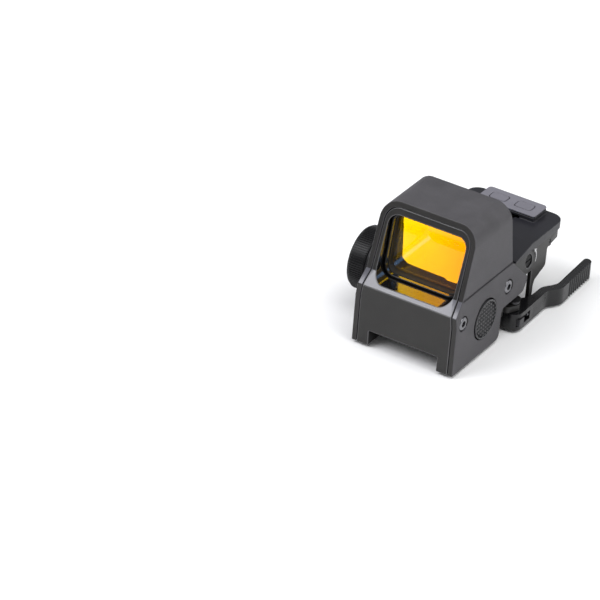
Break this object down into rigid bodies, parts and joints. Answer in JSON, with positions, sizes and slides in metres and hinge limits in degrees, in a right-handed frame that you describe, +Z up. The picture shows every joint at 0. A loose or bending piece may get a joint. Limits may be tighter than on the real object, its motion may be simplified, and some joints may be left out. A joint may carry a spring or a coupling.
{
  "type": "red dot finder",
  "caption": "Hooded reflex red dot sight with an amber coated window, side battery cap, rear keypad and a quick-detach rail clamp lever.",
  "frame": {"origin": "on the rail seat face, in the middle of the channel and under the battery's axis", "axes": "+X to the right as the user looks through it, +Y to the rear along the rail, +Z up"},
  "size_m": [0.0663, 0.0989, 0.0579],
  "materials": {
    "hood_metal": "fine textured matte black anodising",
    "body_metal": "satin black anodising",
    "cover_metal": "satin black",
    "lever_metal": "gloss black",
    "steel": "machined steel",
    "brass": "plated brass",
    "rubber": "matte black rubber",
    "panel": "matte keypad film",
    "lens_glass": "amber dichroic coated glass",
    "window_glass": "clear glass",
    "cell_wrap": "plain shrink sleeve",
    "board": "solder-masked board"
  },
  "bodies": {
    "sight": {"housing": "body_metal", "shield": "hood_metal", "shield_screw_right_front": "steel", "shield_screw_right_rear": "steel", "shield_screw_left_front": "steel", "shield_screw_left_rear": "steel", "lens": "lens_glass", "lens_gasket": "rubber", "lens_retainer": "body_metal", "battery": "cell_wrap", "battery_positive_contact": "brass", "battery_neck": "body_metal", "battery_lead": "rubber", "cap_o_ring": "rubber", "side_plug": "body_metal", "rear_cover": "cover_metal", "cover_screw_right": "steel", "cover_screw_left": "steel", "keypad_panel": "panel", "circuit_board": "board", "board_screw_right": "steel", "board_screw_left": "steel", "emitter_window": "window_glass", "windage_spring": "steel", "clamp_base": "body_metal", "fixed_jaw": "body_metal", "recoil_lug": "steel", "jaw_guide_pin_front": "steel", "jaw_guide_pin_rear": "steel", "jaw_screw_front": "steel", "jaw_screw_rear": "steel", "base_screw_right": "steel", "base_screw_left": "steel", "lever_pin": "steel"},
    "cap_contact": {"cap_contact": "brass", "cap_spring": "steel"},
    "battery_cap": {"battery_cap": "body_metal"},
    "button_up": {"button_up": "rubber"},
    "button_down": {"button_down": "rubber"},
    "windage_screw": {"windage_screw": "steel"},
    "elevation_screw": {"elevation_screw": "steel"},
    "windage_slide": {"windage_slide": "body_metal", "elevation_spring": "steel"},
    "emitter_carriage": {"emitter_carriage": "body_metal", "led_emitter": "window_glass", "reticle_mask": "steel"},
    "movable_jaw": {"movable_jaw": "body_metal"},
    "clamp_lever": {"clamp_lever": "lever_metal", "lock_spring": "steel"},
    "lock_tab": {"lock_tab": "steel"}
  },
  "joints": [
    {"name": "lever_swing", "type": "hinge", "parent": "sight", "child": "clamp_lever", "pos_m": [0.0207, 0.0154, -0.0028], "axis": [0, 0, -1], "range_deg": [0, 95]},
    {"name": "lock_tab_slide", "type": "slide", "parent": "clamp_lever", "child": "lock_tab", "axis": [0, 1, 0], "range_m": [0, 0.0035], "stiffness_N_per_m": 300, "springref_m": -0.001},
    {"name": "jaw_slide", "type": "slide", "parent": "sight", "child": "movable_jaw", "axis": [1, 0, 0], "range_m": [0, 0.0015]},
    {"name": "cap_draw", "type": "slide", "parent": "sight", "child": "cap_contact", "axis": [-1, 0, 0], "range_m": [0, 0.0045]},
    {"name": "cap_turn", "type": "hinge", "parent": "cap_contact", "child": "battery_cap", "pos_m": [-0.038, 0, 0.01], "axis": [-1, 0, 0], "range_deg": [0, 1080]},
    {"name": "button_up_press", "type": "slide", "parent": "sight", "child": "button_up", "axis": [0, 0, -1], "range_m": [0, 0.0006], "stiffness_N_per_m": 1500, "springref_m": -0.0005},
    {"name": "button_down_press", "type": "slide", "parent": "sight", "child": "button_down", "axis": [0, 0, -1], "range_m": [0, 0.0006], "stiffness_N_per_m": 1500, "springref_m": -0.0005},
    {"name": "windage_turn", "type": "hinge", "parent": "sight", "child": "windage_screw", "pos_m": [0.018, 0.0271, 0.0159], "axis": [1, 0, 0], "range_deg": [-720, 720]},
    {"name": "windage_shift", "type": "slide", "parent": "sight", "child": "windage_slide", "axis": [1, 0, 0], "range_m": [-0.0007, 0.0007]},
    {"name": "elevation_turn", "type": "hinge", "parent": "sight", "child": "elevation_screw", "pos_m": [0, 0.0228, 0.02], "axis": [0, 0, 1], "range_deg": [-720, 720]},
    {"name": "elevation_shift", "type": "slide", "parent": "windage_slide", "child": "emitter_carriage", "axis": [0, 0, 1], "range_m": [-0.0007, 0.0007]}
  ],
  "couplings": [
    {"joint": "jaw_slide", "follows": "lever_swing", "m_per_rad": 0.00090377},
    {"joint": "cap_draw", "follows": "cap_turn", "m_per_rad": 0.00023849},
    {"joint": "windage_turn", "follows": "windage_shift", "rad_per_m": 17940},
    {"joint": "elevation_turn", "follows": "elevation_shift", "rad_per_m": 17940}
  ]
}
